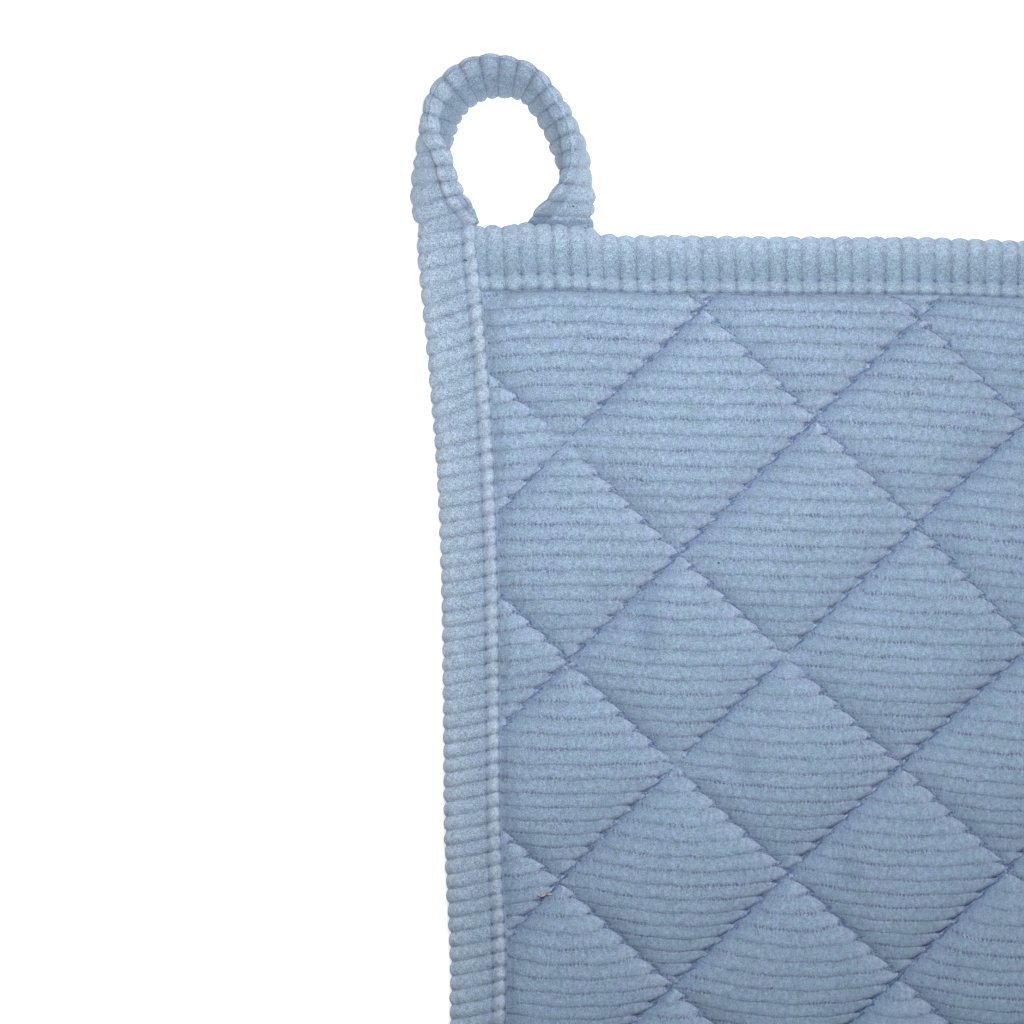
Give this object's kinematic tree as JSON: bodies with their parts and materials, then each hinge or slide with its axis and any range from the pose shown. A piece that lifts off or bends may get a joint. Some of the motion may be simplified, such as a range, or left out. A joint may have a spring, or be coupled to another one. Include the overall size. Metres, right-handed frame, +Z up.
{
  "type": "pot holder",
  "caption": "Square quilted corduroy pot holder with a ribbed corduroy binding and a hanging loop at one corner, for lifting hot pans and hanging on a hook.",
  "frame": {"origin": "middle of the pad's underside, where it lies flat on the surface", "axes": "+Z up out of the front of the pad, +Y towards the edge with the loop, +X towards the edge away from the loop"},
  "size_m": [0.2006, 0.2339, 0.0123],
  "materials": {
    "panel_corduroy": "light blue cotton corduroy, matt pile, wales running across",
    "binding_corduroy": "light blue cotton corduroy, matt pile, wales across the strip"
  },
  "bodies": {
    "root": {"quilted_pad": "panel_corduroy", "binding_top": "binding_corduroy", "binding_bottom": "binding_corduroy", "binding_right": "binding_corduroy", "binding_left_loop": "binding_corduroy"}
  },
  "joints": []
}
